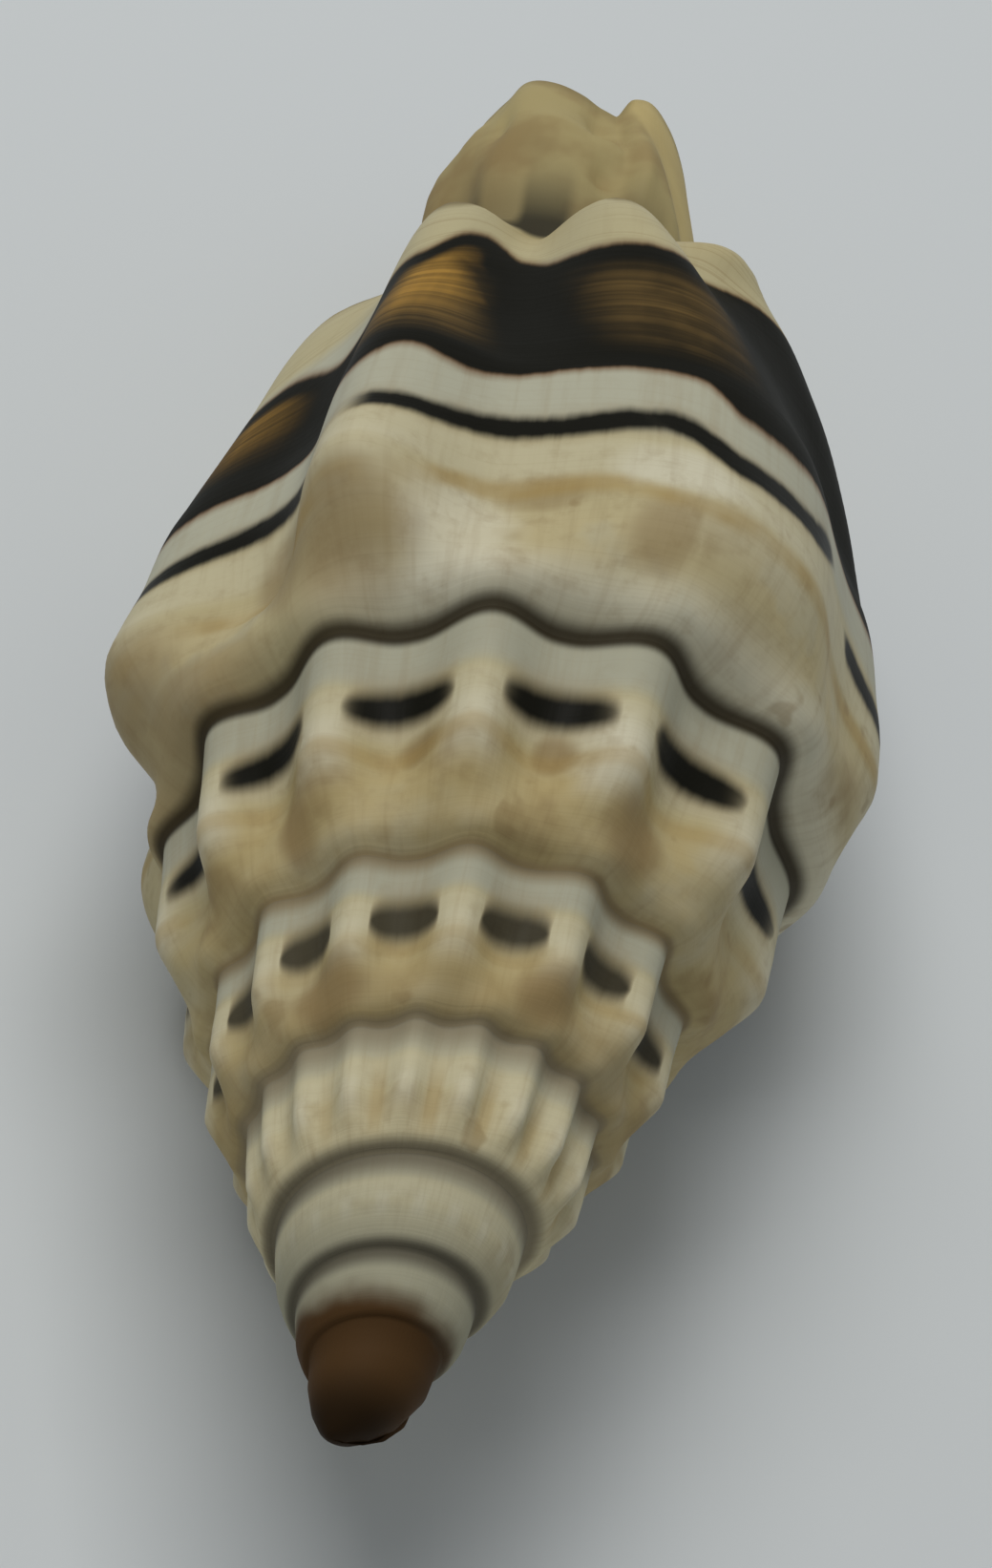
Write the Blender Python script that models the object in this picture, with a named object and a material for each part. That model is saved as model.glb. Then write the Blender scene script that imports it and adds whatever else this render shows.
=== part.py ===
"""Mitre shell: one closed solid, grown along a spiral from its worn tip to its lip.

The shell is a tube that widens as it coils round an axis, so every point of it has
a turn (0 on the back, rising towards the lip) and a place on the whorl (0 at the
suture, 1 at the end of the canal). Sizes are in millimetres until the last step.
"""

import math

import bmesh
import bpy
import numpy as np
from mathutils import Matrix, Vector

# Growth of the whole shell.
WIDENING = 1.415             # how much each turn is larger than the one before
SUTURE_RADIUS = 6.56         # of the last whorl, on the back of the shell
SUTURE_HEIGHT = 17.62        # from the tip, measured along the axis
LIP_TURN = 0.37              # the outer lip, over a third of a turn past the back
SPIRE_TURNS = 5              # whole turns between the tip and the inner lip
TIP_HEIGHT = 1.15            # the worn tip, along the axis
TIP_LEAN = 0.45              # and how far it leans away from the lip

# Outline of the last whorl on the back of the shell: place, radius, height.
JOIN = 0.380                 # the place that the next suture covers
OUTLINE = (
    (0.000, SUTURE_RADIUS, SUTURE_HEIGHT),
    (0.045, 7.31, 17.98),
    (0.095, 7.78, 18.67),
    (0.150, 8.20, 19.58),
    (0.205, 8.44, 20.60),    # shoulder
    (0.260, 8.44, 21.67),
    (0.315, 8.38, 22.99),
    (JOIN, 8.26, WIDENING * SUTURE_HEIGHT),
    (0.460, 7.94, 26.70),
    (0.540, 7.55, 28.80),
    (0.620, 7.20, 31.00),
    (0.690, 6.88, 33.10),
    (0.750, 6.32, 34.90),    # base
    (0.810, 5.03, 36.60),
    (0.870, 4.15, 38.40),    # neck of the canal
    (0.930, 3.92, 41.30),
    (1.000, 3.30, 45.35),
)
YOUNG_WIDTH = 1.035          # the whorls near the tip are a little wider for their height
CANAL_RADIUS = (             # turn, radius of the canal's end
    (-1.300, 0.50),
    (-0.950, 0.75),
    (-0.630, 1.35),
    (-0.500, 2.20),
    (-0.350, 2.85),
    (-0.220, 2.90),
    (-0.160, 2.82),
    (-0.120, 2.90),
    (-0.080, 3.08),
    (-0.040, 2.95),
    (0.000, 2.77),
    (0.035, 2.65),
    (0.062, 2.60),
    (0.085, 2.82),
    (0.110, 2.93),
    (0.150, 2.96),
    (0.200, 3.03),
    (0.280, 3.25),
    (0.370, 3.36),
)
CANAL_END = (                # turn, how far the canal's end falls short, along the axis
    (-0.630, 1.95),
    (-0.550, 1.95),
    (-0.350, 0.50),
    (-0.250, 0.02),
    (-0.200, 0.00),
    (-0.160, 0.15),
    (-0.120, 0.40),
    (-0.040, 0.60),
    (0.000, 0.80),
    (0.035, 1.05),
    (0.060, 1.08),           # the notch
    (0.080, 0.24),
    (0.110, 0.05),
    (0.150, 0.30),
    (0.200, 0.85),
    (0.280, 1.65),
    (0.370, 1.70),
)
CANAL_LIFT = 1.1             # how far the end of the canal bends towards the back
STRAP_TURN = 0.066           # where the flat strap beside the notch begins, at its end
STRAP_SLANT = 0.86           # how fast its edge slants away towards the lip
STRAP_STEP = 0.34            # how far it lies below the hump that the notch has left
LUMPS = (                    # turn, place, half width in turns, in places, height
    (0.110, 0.765, 0.035, 0.040, 0.98),      # knob where a rib ends on the base
    (-0.190, 0.940, 0.050, 0.030, 0.24),     # swellings and dents round the canal
    (-0.130, 0.905, 0.030, 0.020, -0.26),
    (-0.140, 0.965, 0.022, 0.020, 0.16),
    (-0.070, 0.985, 0.040, 0.022, 0.16),
    (-0.088, 0.952, 0.014, 0.014, -0.24),
    (-0.020, 0.945, 0.036, 0.018, 0.30),
    (-0.045, 0.912, 0.030, 0.014, -0.20),
    (0.030, 0.975, 0.022, 0.014, -0.30),
    (0.045, 0.946, 0.030, 0.010, 0.28),
    (0.042, 0.918, 0.018, 0.012, -0.36),
    (0.086, 0.925, 0.014, 0.020, 0.24),
    (0.270, 0.170, 0.075, 0.085, -0.42),     # the shoulder sinks near the lip
    (-0.246, 0.105, 0.034, 0.058, -0.80),    # and the ramp is hollow on the left
    (-0.216, 0.150, 0.014, 0.035, 0.22),
)

# Ribs that run from the shoulder to the base.
RIB_COUNT = (                # turn, hollows between ribs, counted from the back
    (-6.000, -96.0),
    (-3.000, -36.5),
    (-2.170, -23.0),
    (-2.020, -21.0),
    (-1.859, -19.0),
    (-1.779, -18.0),
    (-1.197, -11.0),
    (-1.034, -9.0),
    (-0.866, -7.0),
    (-0.770, -6.0),
    (-0.384, -3.0),
    (-0.259, -2.0),
    (-0.122, -1.0),
    (0.015, 0.0),
    (0.200, 1.0),
    (0.325, 2.0),
    (0.652, 5.0),
)
RIB_HEIGHT = (               # turn, height for its whorl: low beside the aperture and the lip
    (-3.80, 0.00),
    (-2.70, 0.64),
    (-2.00, 0.74),
    (-1.00, 0.86),
    (-0.66, 0.86),
    (-0.60, 0.35),
    (-0.33, 0.35),
    (-0.26, 1.05),
    (-0.19, 1.12),
    (-0.08, 1.75),
    (0.07, 0.72),
    (0.13, 0.42),
    (0.20, 0.62),
    (0.26, 0.55),
    (LIP_TURN, 0.25),
)
FOLD_HEIGHT = (              # turn, height of the ribs where they run on over the base
    (-3.80, 0.00),
    (-0.66, 0.60),
    (-0.33, 0.60),
    (-0.22, 1.12),
    (-0.06, 1.20),
    (0.00, 1.95),
    (0.06, 1.42),
    (0.12, 0.80),
    (0.20, 0.10),
    (LIP_TURN, 0.10),
)
FOLD_SLANT = (               # turn, how much sooner the ribs reach the base than the shoulder
    (-0.15, 0.000),
    (-0.05, 0.010),
    (0.00, 0.032),
    (0.05, 0.050),
    (0.11, 0.078),
    (0.17, 0.080),
    (0.30, 0.060),
)
RIB_SHAPE = (                # place, height: a knob on the shoulder, then a long ridge
    (0.000, 0.00),
    (0.060, 0.15),
    (0.120, 0.70),
    (0.200, 1.66),
    (0.250, 1.45),
    (0.330, 1.08),
    (0.500, 1.05),
    (0.650, 0.87),
    (0.740, 0.94),
    (0.800, 0.60),
    (0.860, 0.00),
)

# Wall and hollow.
LIP_THICKNESS = 0.55
WALL_THICKNESS = 1.0
GLAZE = 0.28                 # the smooth layer on the inner side of the aperture
HOLLOW_TURN = 0.5            # how far the hollow runs back into the shell

# How finely the surface is drawn.
STEPS_PER_TURN = 72
SPIRE_ROWS = 6
BASE_ROWS = 11

# How the shell lies on a table, in degrees.
ROLL = -8.5
PITCH = -8.9


def flowing(x, table, column=1):
    """A smooth curve through a table's points that never overshoots them."""
    table = np.array(table, float)
    at, value = table[:, 0], table[:, column]
    step = np.diff(at)
    slope = np.diff(value) / step
    tangent = np.zeros(len(at))
    tangent[0], tangent[-1] = slope[0], slope[-1]
    for k in range(1, len(at) - 1):
        if slope[k - 1] * slope[k] > 0:
            a = 2 * step[k] + step[k - 1]
            b = step[k] + 2 * step[k - 1]
            tangent[k] = (a + b) / (a / slope[k - 1] + b / slope[k])
    x = np.clip(x, at[0], at[-1])
    k = np.clip(np.searchsorted(at, x, side="right") - 1, 0, len(at) - 2)
    s = (x - at[k]) / step[k]
    return (
        value[k] * (1 + 2 * s) * (1 - s) ** 2
        + tangent[k] * step[k] * s * (1 - s) ** 2
        + value[k + 1] * s * s * (3 - 2 * s)
        - tangent[k + 1] * step[k] * s * s * (1 - s)
    )


def ease(x, low, high):
    """0 below low, 1 above high, smooth between."""
    t = np.clip((x - low) / (high - low), 0, 1)
    return t * t * (3 - 2 * t)


def rib_crest(turn, place):
    """1 on the crest of a rib and 0 in the hollow between two."""
    turn = turn + flowing(turn, FOLD_SLANT) * np.clip((place - 0.42) / 0.24, 0, 1.5)
    phase = flowing(turn, RIB_COUNT)
    return ((1 - np.cos(2 * math.pi * phase)) / 2) ** 1.25


def rib_rise(turn, place):
    """How far a rib stands out, or its hollow falls in, at the size of its whorl."""
    height = flowing(turn, RIB_HEIGHT)
    height = height + (flowing(turn, FOLD_HEIGHT) - height) * ease(place, 0.44, 0.68)
    size = flowing(place, RIB_SHAPE) * height * WIDENING**turn
    return size * (rib_crest(turn, place) - 0.56)


def lumpy_rise(turn, place):
    """The lumps on the base and the canal, and the step down to the strap beside the notch."""
    strap = STRAP_TURN + STRAP_SLANT * (1 - place)
    rise = STRAP_STEP * (1 - ease(turn, strap - 0.022, strap + 0.022))
    rise = rise * ease(place, 0.86, 0.91) * (1 - ease(place, 0.94, 1.0)) * ease(turn, -0.6, -0.3)
    for at, down, width, depth, height in LUMPS:
        rise = rise + height * np.exp(-(((turn - at) / width) ** 2) - ((place - down) / depth) ** 2)
    return rise * ease(place, 0.0, 0.07)


def surface(turn, place, crests=1.0, hollows=1.0):
    """The outside of the shell, in a frame whose Z runs along the axis from the tip.

    crests and hollows are the shares of the ribs that stand out and fall in.
    """
    turn, place = np.broadcast_arrays(np.asarray(turn, float), np.asarray(place, float))
    scale = WIDENING**turn
    radius = flowing(place, OUTLINE)
    height = flowing(place, OUTLINE, 2)

    # The spire's whorls lean out to meet the next suture, the last one doesn't.
    lean = WIDENING * SUTURE_RADIUS - flowing(np.array(JOIN), OUTLINE)
    lean = lean * np.clip((place - 0.14) / (JOIN - 0.14), 0, 1) ** 1.6
    lean = lean * np.where(place > JOIN, 1 - ease(place, JOIN, 0.62), 1)
    radius = radius + lean * (1 - ease(turn, LIP_TURN - 1, -0.40))

    # The last whorl is a little flat beside the aperture, and again near the lip.
    side = ease(place, 0.10, 0.36)
    last = ease(turn, LIP_TURN - 1, -0.55)
    flat = 0.15 * last * (1 - ease(turn, -0.46, -0.34))
    flat = flat + 0.085 * ease(turn, -0.46, -0.34) * (1 - ease(turn, -0.34, -0.20))
    flat = flat + 0.045 * ease(turn, 0.02, 0.3)
    radius = radius * scale * (1 - flat * side)
    radius = radius * (1 - 0.024 * ease(turn, 0.08, 0.22) * ease(place, 0.34, 0.48))
    grown = turn + np.minimum(place / JOIN, 1)
    radius = radius * (1 + (YOUNG_WIDTH - 1) * (1 - ease(grown, -2.0, -1.0)))
    height_own = height * scale

    # The base runs on into the canal, which ends at one height all round.
    canal = ease(place, 0.56, 0.88)
    end = flowing(turn, CANAL_RADIUS)
    width = flowing(turn, ((-1.3, 0.2), (-0.63, 0.45), (-0.25, 0.8), (0.0, 1.0), (0.37, 0.95)))
    below = flowing(place, OUTLINE) - OUTLINE[-1][1]
    radius = (1 - canal) * radius + canal * (end + below * width)
    radius = radius + lumpy_rise(turn, place)
    height = (1 - canal) * height_own + canal * height
    height = height - flowing(turn, CANAL_END) * ease(place, 0.86, 1.0)

    near = 1 - ease(place, 0.0, 0.13)
    rise = rib_rise(turn, place) * (1 - near) + rib_rise(turn - 1, JOIN) * near
    radius = radius + crests * np.maximum(rise, 0) + hollows * np.minimum(rise, 0)

    angle = 2 * math.pi * turn
    back = CANAL_LIFT * ease(height, 36.5, 46.0)
    return np.stack(
        (radius * np.cos(angle) + back, radius * np.sin(angle), height), axis=-1
    )


def outward(turn, place):
    """The direction out of the surface, with the ribs left out."""
    along = surface(turn + 0.002, place, 0, 0) - surface(turn - 0.002, place, 0, 0)
    down = surface(turn, np.minimum(place + 0.004, 1), 0, 0)
    down = down - surface(turn, np.maximum(place - 0.004, 0), 0, 0)
    normal = np.cross(along, down)
    length = np.linalg.norm(normal, axis=-1, keepdims=True)
    return normal / np.maximum(length, 1e-9)


def floor_of_hollow(turn, place):
    """The whorl before, under its glaze, which the hollow winds round."""
    return surface(turn, place) + GLAZE * outward(turn, place)


def roof_of_hollow(turn, place):
    """The inside of the last whorl's wall, where the ribs show a little too."""
    depth = ease(LIP_TURN - turn, 0.0, 0.09)
    thickness = LIP_THICKNESS + (WALL_THICKNESS - LIP_THICKNESS) * depth
    thickness = thickness * (1 - 0.15 * ease(place, 0.7, 0.95))
    roof = surface(turn, place, 0.3) - thickness[..., None] * outward(turn, place)
    corner = floor_of_hollow(turn - 1, np.full_like(place, JOIN + 0.045))
    inside = ease(place, 0.0, 0.17)[..., None]
    return corner * (1 - inside) + roof * inside


def hollow(way, place):
    """The hollow's wall: in under the roof, round its blind end, and out on the floor."""
    way, place = np.broadcast_arrays(np.asarray(way, float), np.asarray(place, float))
    depth = 1 - np.abs(1 - 2 * way)
    turn = LIP_TURN - depth * HOLLOW_TURN
    roof = roof_of_hollow(turn, place)
    corner = floor_of_hollow(turn - 1, np.full_like(place, JOIN + 0.045))
    bottom = floor_of_hollow(turn - 1, np.maximum(place, JOIN))
    bend = ease(place, JOIN, JOIN + 0.12)[..., None]
    bottom = corner * (1 - bend) + bottom * bend
    blind = np.clip((depth - 0.88) / 0.12, 0, 1)
    open_share = np.sqrt(np.maximum(1 - blind**2, 0))
    sign = np.where(way <= 0.5, 1.0, -1.0)
    middle = (roof + bottom) / 2
    half = (roof - bottom) / 2
    return middle + half * (open_share * sign)[..., None]


def place_of_row(row):
    """Rows are even from the suture to the join, and even again from there to the end."""
    spire = row / SPIRE_ROWS * JOIN
    base = JOIN + (row - SPIRE_ROWS) / BASE_ROWS * (1 - JOIN)
    return np.where(row <= SPIRE_ROWS, spire, base)


def sheet(bm, columns, rows, shape):
    """Adds a grid whose corners are moved to shape(column, row), and returns them."""
    made = bmesh.ops.create_grid(bm, x_segments=columns, y_segments=rows, size=0.5)
    corners = made["verts"]
    column = np.array([round((v.co.x + 0.5) * columns) for v in corners])
    row = np.array([round((v.co.y + 0.5) * rows) for v in corners])
    for corner, point in zip(corners, shape(column, row)):
        corner.co = Vector(point)
    return {(c, r): v for c, r, v in zip(column, row, corners)}


def joined(bm, first, second):
    """Faces between two chains of corners that have the same number of corners."""
    for k in range(len(first) - 1):
        ring = []
        for corner in (first[k], first[k + 1], second[k + 1], second[k]):
            if corner not in ring:
                ring.append(corner)
        if len(ring) > 2:
            bm.faces.new(ring)


bpy.context.scene.unit_settings.system = "METRIC"
for thing in list(bpy.data.objects):
    bpy.data.objects.remove(thing)

bm = bmesh.new()
rows = SPIRE_ROWS + BASE_ROWS
spire_columns = SPIRE_TURNS * STEPS_PER_TURN
tip_turn = LIP_TURN - 1 - SPIRE_TURNS

# Spire, last whorl and hollow.
sheet(
    bm,
    spire_columns,
    SPIRE_ROWS,
    lambda column, row: surface(tip_turn + column / STEPS_PER_TURN, place_of_row(row)),
)
last = sheet(
    bm,
    STEPS_PER_TURN,
    rows,
    lambda column, row: surface(LIP_TURN - 1 + column / STEPS_PER_TURN, place_of_row(row)),
)
inside = sheet(
    bm,
    STEPS_PER_TURN,
    rows,
    lambda column, row: hollow(column / STEPS_PER_TURN, place_of_row(row)),
)

# The rim of the aperture: outer lip, end of the canal, inner lip.
outer_rim = [last[STEPS_PER_TURN, row] for row in range(rows + 1)]
outer_rim += [last[STEPS_PER_TURN - k, rows] for k in range(1, STEPS_PER_TURN + 1)]
outer_rim += [last[0, row] for row in range(rows - 1, SPIRE_ROWS - 1, -1)]
inner_rim = [inside[0, row] for row in range(rows + 1)]
inner_rim += [inside[k, rows] for k in range(1, STEPS_PER_TURN + 1)]
inner_rim += [inside[STEPS_PER_TURN, row] for row in range(rows - 1, SPIRE_ROWS - 1, -1)]
joined(bm, outer_rim, inner_rim)
bmesh.ops.remove_doubles(bm, verts=bm.verts[:], dist=1e-4)
bmesh.ops.dissolve_degenerate(bm, edges=bm.edges[:], dist=1e-5)

# The worn tip: the open end of the spire drawn in to a round point.
rim = [edge for edge in bm.edges if edge.is_boundary]
start = {corner: corner.co.copy() for edge in rim for corner in edge.verts}
for angle in (35, 62):
    made = bmesh.ops.extrude_edge_only(bm, edges=rim)["geom"]
    rim = [part for part in made if isinstance(part, bmesh.types.BMEdge) and part.is_boundary]
    drawn = {}
    for corner in {corner for edge in rim for corner in edge.verts}:
        old = min(start, key=lambda known: (known.co - corner.co).length)
        drawn[corner] = start[old]
    for corner, first in drawn.items():
        across = math.cos(math.radians(angle)) ** 1.3
        up = 1 - math.sin(math.radians(angle))
        corner.co.x = first.x * across
        corner.co.y = first.y * across - TIP_LEAN * (1 - across)
        corner.co.z = TIP_HEIGHT + (first.z - TIP_HEIGHT) * up
    start = drawn
tip = Vector((0, -TIP_LEAN, TIP_HEIGHT))
bmesh.ops.edgeloop_fill(bm, edges=rim)
crown = [face for face in bm.faces if len(face.verts) > 8]
for corner in bmesh.ops.poke(bm, faces=crown)["verts"]:
    corner.co = tip

# Lay the shell on its aperture: the back up, the tip towards -Y, the lip towards +X.
lie = Matrix(((0, 1, 0), (0, 0, 1), (1, 0, 0))).to_4x4()
lie = Matrix.Rotation(math.radians(PITCH), 4, "X") @ Matrix.Rotation(
    math.radians(ROLL), 4, "Y"
) @ lie
bmesh.ops.transform(bm, matrix=Matrix.Scale(0.001, 4) @ lie, verts=bm.verts[:])
low = [min(v.co[k] for v in bm.verts) for k in range(3)]
high = [max(v.co[k] for v in bm.verts) for k in range(3)]
stand = Vector(((low[0] + high[0]) / 2, (low[1] + high[1]) / 2, low[2]))
bmesh.ops.translate(bm, vec=-stand, verts=bm.verts[:])
bmesh.ops.recalc_face_normals(bm, faces=bm.faces[:])
if bm.calc_volume(signed=True) < 0:
    bmesh.ops.reverse_faces(bm, faces=bm.faces[:])

mesh = bpy.data.meshes.new("shell")
bm.to_mesh(mesh)
bm.free()
mesh.shade_smooth()
shell = bpy.data.objects.new("shell", mesh)
bpy.context.scene.collection.objects.link(shell)

# Cream porcelain-like shell.
cream = bpy.data.materials.new("cream_shell")
cream.use_nodes = True
look = cream.node_tree.nodes["Principled BSDF"]
look.inputs["Base Color"].default_value = (0.62, 0.54, 0.38, 1)
look.inputs["Roughness"].default_value = 0.38
mesh.materials.append(cream)
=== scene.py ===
import math

import bmesh
import bpy
import numpy as np
from mathutils import Matrix, Vector


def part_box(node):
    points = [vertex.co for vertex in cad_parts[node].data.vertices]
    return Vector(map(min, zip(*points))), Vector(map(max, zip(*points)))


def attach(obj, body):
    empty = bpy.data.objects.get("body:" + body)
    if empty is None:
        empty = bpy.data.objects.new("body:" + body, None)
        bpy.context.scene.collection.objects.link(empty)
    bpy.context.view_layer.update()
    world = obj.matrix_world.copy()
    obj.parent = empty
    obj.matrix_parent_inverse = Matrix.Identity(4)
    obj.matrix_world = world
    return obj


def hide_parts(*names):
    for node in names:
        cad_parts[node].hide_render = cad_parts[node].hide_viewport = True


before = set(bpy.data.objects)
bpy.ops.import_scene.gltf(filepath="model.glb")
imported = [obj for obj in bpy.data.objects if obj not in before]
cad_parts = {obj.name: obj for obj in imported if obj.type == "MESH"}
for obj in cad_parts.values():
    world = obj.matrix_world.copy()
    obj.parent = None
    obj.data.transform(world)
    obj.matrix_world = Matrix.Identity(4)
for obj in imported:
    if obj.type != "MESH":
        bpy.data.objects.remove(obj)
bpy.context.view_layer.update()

scene = bpy.context.scene


# ---------------------------------------------------------------- shell
# A mitre shell is one piece of glossy lime that the animal lays down at the lip, a
# little at a time, so ribs, bands and growth lines all follow the turns of one spiral.
# Each point has a turn (0 on the back) and a place on its whorl (0 suture, 1 canal).

WIDENING = 1.415             # how much each turn is larger than the one before
SUTURE_RADIUS = 6.56         # of the last whorl, on the back of the shell
SUTURE_HEIGHT = 17.62        # from the tip, measured along the axis
LIP_TURN = 0.37              # the outer lip, over a third of a turn past the back
SPIRE_TURNS = 5              # whole turns between the tip and the inner lip
TIP_HEIGHT = 1.15            # the worn tip, along the axis
TIP_LEAN = 0.45              # and how far it leans away from the lip

# Outline of the last whorl on the back of the shell: place, radius, height.
JOIN = 0.380                 # the place that the next suture covers
OUTLINE = (
    (0.000, SUTURE_RADIUS, SUTURE_HEIGHT),
    (0.045, 7.31, 17.98),
    (0.095, 7.78, 18.67),
    (0.150, 8.20, 19.58),
    (0.205, 8.44, 20.60),    # shoulder
    (0.260, 8.44, 21.67),
    (0.315, 8.38, 22.99),
    (JOIN, 8.26, WIDENING * SUTURE_HEIGHT),
    (0.460, 7.94, 26.70),
    (0.540, 7.55, 28.80),
    (0.620, 7.20, 31.00),
    (0.690, 6.88, 33.10),
    (0.750, 6.32, 34.90),    # base
    (0.810, 5.03, 36.60),
    (0.870, 4.15, 38.40),    # neck of the canal
    (0.930, 3.92, 41.30),
    (1.000, 3.30, 45.35),
)
YOUNG_WIDTH = 1.035          # the whorls near the tip are a little wider for their height
CANAL_RADIUS = (             # turn, radius of the canal's end
    (-1.300, 0.50),
    (-0.950, 0.75),
    (-0.630, 1.35),
    (-0.500, 2.20),
    (-0.350, 2.85),
    (-0.220, 2.90),
    (-0.160, 2.82),
    (-0.120, 2.90),
    (-0.080, 3.08),
    (-0.040, 2.95),
    (0.000, 2.77),
    (0.035, 2.65),
    (0.062, 2.60),
    (0.085, 2.82),
    (0.110, 2.93),
    (0.150, 2.96),
    (0.200, 3.03),
    (0.280, 3.25),
    (0.370, 3.36),
)
CANAL_END = (                # turn, how far the canal's end falls short, along the axis
    (-0.630, 1.95),
    (-0.550, 1.95),
    (-0.350, 0.50),
    (-0.250, 0.02),
    (-0.200, 0.00),
    (-0.160, 0.15),
    (-0.120, 0.40),
    (-0.040, 0.60),
    (0.000, 0.80),
    (0.035, 1.05),
    (0.060, 1.08),           # the notch
    (0.080, 0.24),
    (0.110, 0.05),
    (0.150, 0.30),
    (0.200, 0.85),
    (0.280, 1.65),
    (0.370, 1.70),
)
CANAL_LIFT = 1.1             # how far the end of the canal bends towards the back
STRAP_TURN = 0.066           # where the flat strap beside the notch begins, at its end
STRAP_SLANT = 0.86           # how fast its edge slants away towards the lip
STRAP_STEP = 0.34            # how far it lies below the hump that the notch has left
LUMPS = (                    # turn, place, half width in turns, in places, height
    (0.110, 0.765, 0.035, 0.040, 0.98),      # knob where a rib ends on the base
    (-0.190, 0.940, 0.050, 0.030, 0.24),     # swellings and dents round the canal
    (-0.130, 0.905, 0.030, 0.020, -0.26),
    (-0.140, 0.965, 0.022, 0.020, 0.16),
    (-0.070, 0.985, 0.040, 0.022, 0.16),
    (-0.088, 0.952, 0.014, 0.014, -0.24),
    (-0.020, 0.945, 0.036, 0.018, 0.30),
    (-0.045, 0.912, 0.030, 0.014, -0.20),
    (0.030, 0.975, 0.022, 0.014, -0.30),
    (0.045, 0.946, 0.030, 0.010, 0.28),
    (0.042, 0.918, 0.018, 0.012, -0.36),
    (0.086, 0.925, 0.014, 0.020, 0.24),
    (0.270, 0.170, 0.075, 0.085, -0.42),     # the shoulder sinks near the lip
    (-0.246, 0.105, 0.034, 0.058, -0.80),    # and the ramp is hollow on the left
    (-0.216, 0.150, 0.014, 0.035, 0.22),
)

# Ribs that run from the shoulder to the base.
RIB_COUNT = (                # turn, hollows between ribs, counted from the back
    (-6.000, -96.0),
    (-3.000, -36.5),
    (-2.170, -23.0),
    (-2.020, -21.0),
    (-1.859, -19.0),
    (-1.779, -18.0),
    (-1.197, -11.0),
    (-1.034, -9.0),
    (-0.866, -7.0),
    (-0.770, -6.0),
    (-0.384, -3.0),
    (-0.259, -2.0),
    (-0.122, -1.0),
    (0.015, 0.0),
    (0.200, 1.0),
    (0.325, 2.0),
    (0.652, 5.0),
)
RIB_HEIGHT = (               # turn, height for its whorl: low beside the aperture and the lip
    (-3.80, 0.00),
    (-2.70, 0.64),
    (-2.00, 0.74),
    (-1.00, 0.86),
    (-0.66, 0.86),
    (-0.60, 0.35),
    (-0.33, 0.35),
    (-0.26, 1.05),
    (-0.19, 1.12),
    (-0.08, 1.75),
    (0.07, 0.72),
    (0.13, 0.42),
    (0.20, 0.62),
    (0.26, 0.55),
    (LIP_TURN, 0.25),
)
FOLD_HEIGHT = (              # turn, height of the ribs where they run on over the base
    (-3.80, 0.00),
    (-0.66, 0.60),
    (-0.33, 0.60),
    (-0.22, 1.12),
    (-0.06, 1.20),
    (0.00, 1.95),
    (0.06, 1.42),
    (0.12, 0.80),
    (0.20, 0.10),
    (LIP_TURN, 0.10),
)
FOLD_SLANT = (               # turn, how much sooner the ribs reach the base than the shoulder
    (-0.15, 0.000),
    (-0.05, 0.010),
    (0.00, 0.032),
    (0.05, 0.050),
    (0.11, 0.078),
    (0.17, 0.080),
    (0.30, 0.060),
)
RIB_SHAPE = (                # place, height: a knob on the shoulder, then a long ridge
    (0.000, 0.00),
    (0.060, 0.15),
    (0.120, 0.70),
    (0.200, 1.66),
    (0.250, 1.45),
    (0.330, 1.08),
    (0.500, 1.05),
    (0.650, 0.87),
    (0.740, 0.94),
    (0.800, 0.60),
    (0.860, 0.00),
)

LIP_THICKNESS = 0.55
WALL_THICKNESS = 1.0
GLAZE = 0.28                 # thickness of the lime over the whorl before, inside
HOLLOW_TURN = 0.5            # how far in the hollow winds
HOLLOW_CORNER = JOIN + 0.045 # where its roof and its floor meet
PLAITS = (                   # place and height of the folds that wind round the axis inside
    (0.590, 0.50),
    (0.645, 0.45),
    (0.700, 0.36),
    (0.750, 0.25),
)
PLAIT_WIDTH = 0.014          # half width, in places

STEPS_PER_TURN = 288
SPIRE_ROWS = 26              # between the suture and the join
BASE_ROWS = 60               # between the join and the end of the canal
TIP_RINGS = (20, 40, 58, 75) # degrees round the tip's curve
TIP_ROUNDNESS = 1.3
TIP_CAP = 3.6                # the rings and the crown lie below this, along the axis

ROLL = -8.5                  # how the shell lies on its aperture, in degrees: turned round
PITCH = -8.9                 # its length, and tilted along it


def flowing(x, table, column=1):
    """A smooth curve through a table's points that never overshoots them."""
    table = np.array(table, float)
    at, value = table[:, 0], table[:, column]
    step = np.diff(at)
    slope = np.diff(value) / step
    tangent = np.zeros(len(at))
    tangent[0], tangent[-1] = slope[0], slope[-1]
    for k in range(1, len(at) - 1):
        if slope[k - 1] * slope[k] > 0:
            a = 2 * step[k] + step[k - 1]
            b = step[k] + 2 * step[k - 1]
            tangent[k] = (a + b) / (a / slope[k - 1] + b / slope[k])
    x = np.clip(x, at[0], at[-1])
    k = np.clip(np.searchsorted(at, x, side="right") - 1, 0, len(at) - 2)
    s = (x - at[k]) / step[k]
    return (
        value[k] * (1 + 2 * s) * (1 - s) ** 2
        + tangent[k] * step[k] * s * (1 - s) ** 2
        + value[k + 1] * s * s * (3 - 2 * s)
        - tangent[k + 1] * step[k] * s * s * (1 - s)
    )


def ease(x, low, high):
    """0 below low, 1 above high, smooth between."""
    t = np.clip((x - low) / (high - low), 0, 1)
    return t * t * (3 - 2 * t)


def rib_crest(turn, place):
    """1 on the crest of a rib and 0 in the hollow between two."""
    turn = turn + flowing(turn, FOLD_SLANT) * np.clip((place - 0.42) / 0.24, 0, 1.5)
    phase = flowing(turn, RIB_COUNT)
    return ((1 - np.cos(2 * math.pi * phase)) / 2) ** 1.25


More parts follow.
